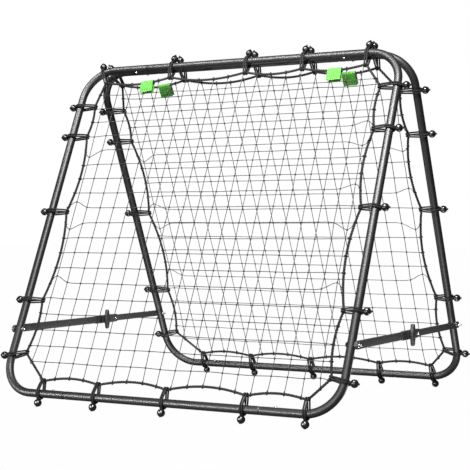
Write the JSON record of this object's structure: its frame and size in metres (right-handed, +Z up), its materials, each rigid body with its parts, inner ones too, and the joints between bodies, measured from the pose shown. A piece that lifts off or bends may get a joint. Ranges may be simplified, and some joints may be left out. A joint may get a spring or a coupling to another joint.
{
  "type": "pitch back rebounder",
  "caption": "Folding double-sided ball rebounder: square tube frames hinged at the top, bungee-strung nets, and telescoping side struts with wing knobs.",
  "frame": {"origin": "centre of the footprint on the floor, under the middle of the rebounder", "axes": "+X along the top bars, -Y the front frame's side, +Z up"},
  "size_m": [1.3364, 1.1454, 1.2144],
  "materials": {
    "black_powder_coat": "semi-gloss black powder coat on steel tube",
    "grey_strut_steel": "satin dark grey painted steel",
    "zinc_hardware": "bright zinc plated steel",
    "black_plastic": "moulded black plastic",
    "ball_plastic": "glossy black plastic ball on black elastic cord",
    "polyester_cord": "black braided polyester rope and net",
    "green_webbing": "bright green woven fabric"
  },
  "bodies": {
    "front_frame": {"front_border_rope_and_bungees": "polyester_cord", "front_bottom_bar": "black_powder_coat", "front_bottom_left_screw": "zinc_hardware", "front_bottom_right_screw": "zinc_hardware", "front_bungee_bottom_1": "ball_plastic", "front_bungee_bottom_2": "ball_plastic", "front_bungee_bottom_3": "ball_plastic", "front_bungee_bottom_4": "ball_plastic", "front_bungee_bottom_5": "ball_plastic", "front_hinge_leaf_1": "black_powder_coat", "front_hinge_leaf_2": "black_powder_coat", "front_net": "polyester_cord", "front_side_tube_left": "black_powder_coat", "front_side_tube_right": "black_powder_coat", "front_tag_1": "green_webbing", "front_tag_2": "green_webbing", "front_top_bar": "black_powder_coat", "front_top_left_screw": "zinc_hardware", "front_top_right_screw": "zinc_hardware", "left_front_pivot_bolt": "zinc_hardware", "right_front_pivot_bolt": "zinc_hardware"},
    "back_frame": {"back_border_rope_and_bungees": "polyester_cord", "back_bottom_bar": "black_powder_coat", "back_bottom_left_screw": "zinc_hardware", "back_bottom_right_screw": "zinc_hardware", "back_bungee_bottom_1": "ball_plastic", "back_bungee_bottom_2": "ball_plastic", "back_bungee_bottom_3": "ball_plastic", "back_bungee_bottom_4": "ball_plastic", "back_bungee_bottom_5": "ball_plastic", "back_hinge_leaf_1": "black_powder_coat", "back_hinge_leaf_2": "black_powder_coat", "back_net": "polyester_cord", "back_side_tube_left": "black_powder_coat", "back_side_tube_right": "black_powder_coat", "back_tag_1": "green_webbing", "back_tag_2": "green_webbing", "back_top_bar": "black_powder_coat", "back_top_left_screw": "zinc_hardware", "back_top_right_screw": "zinc_hardware", "left_rear_pivot_bolt": "zinc_hardware", "right_rear_pivot_bolt": "zinc_hardware"},
    "left_strut_tube": {"left_strut_outer": "grey_strut_steel", "left_clamp": "black_plastic", "left_guide_screw": "zinc_hardware"},
    "left_strut_bar": {"left_strut_inner": "grey_strut_steel"},
    "left_knob": {"left_wing_knob": "black_plastic"},
    "right_strut_tube": {"right_strut_outer": "grey_strut_steel", "right_clamp": "black_plastic", "right_guide_screw": "zinc_hardware"},
    "right_strut_bar": {"right_strut_inner": "grey_strut_steel"},
    "right_knob": {"right_wing_knob": "black_plastic"}
  },
  "joints": [
    {"name": "fold", "type": "hinge", "parent": "front_frame", "child": "back_frame", "pos_m": [0, 0, 1.16979], "axis": [-1, 0, 0], "range_deg": [0, 16]},
    {"name": "left_strut_pivot", "type": "hinge", "parent": "front_frame", "child": "left_strut_tube", "pos_m": [-0.6388, -0.45516, 0.24345], "axis": [-1, 0, 0], "range_deg": [0, 8]},
    {"name": "left_strut_slide", "type": "slide", "parent": "left_strut_tube", "child": "left_strut_bar", "axis": [0, -1, 0], "range_m": [0, 0.2667]},
    {"name": "left_knob_turn", "type": "hinge", "parent": "left_strut_tube", "child": "left_knob", "pos_m": [-0.6233, 0.08, 0.24345], "axis": [1, 0, 0], "continuous": true},
    {"name": "right_strut_pivot", "type": "hinge", "parent": "front_frame", "child": "right_strut_tube", "pos_m": [0.6388, -0.45516, 0.24345], "axis": [-1, 0, 0], "range_deg": [0, 8]},
    {"name": "right_strut_slide", "type": "slide", "parent": "right_strut_tube", "child": "right_strut_bar", "axis": [0, -1, 0], "range_m": [0, 0.2667]},
    {"name": "right_knob_turn", "type": "hinge", "parent": "right_strut_tube", "child": "right_knob", "pos_m": [0.6543, -0.036, 0.24345], "axis": [1, 0, 0], "continuous": true}
  ],
  "couplings": [
    {"joint": "left_strut_pivot", "follows": "fold", "ratio": 0.5},
    {"joint": "left_strut_slide", "follows": "fold", "m_per_rad": 0.95493},
    {"joint": "right_strut_pivot", "follows": "fold", "ratio": 0.5},
    {"joint": "right_strut_slide", "follows": "fold", "m_per_rad": 0.95493}
  ]
}
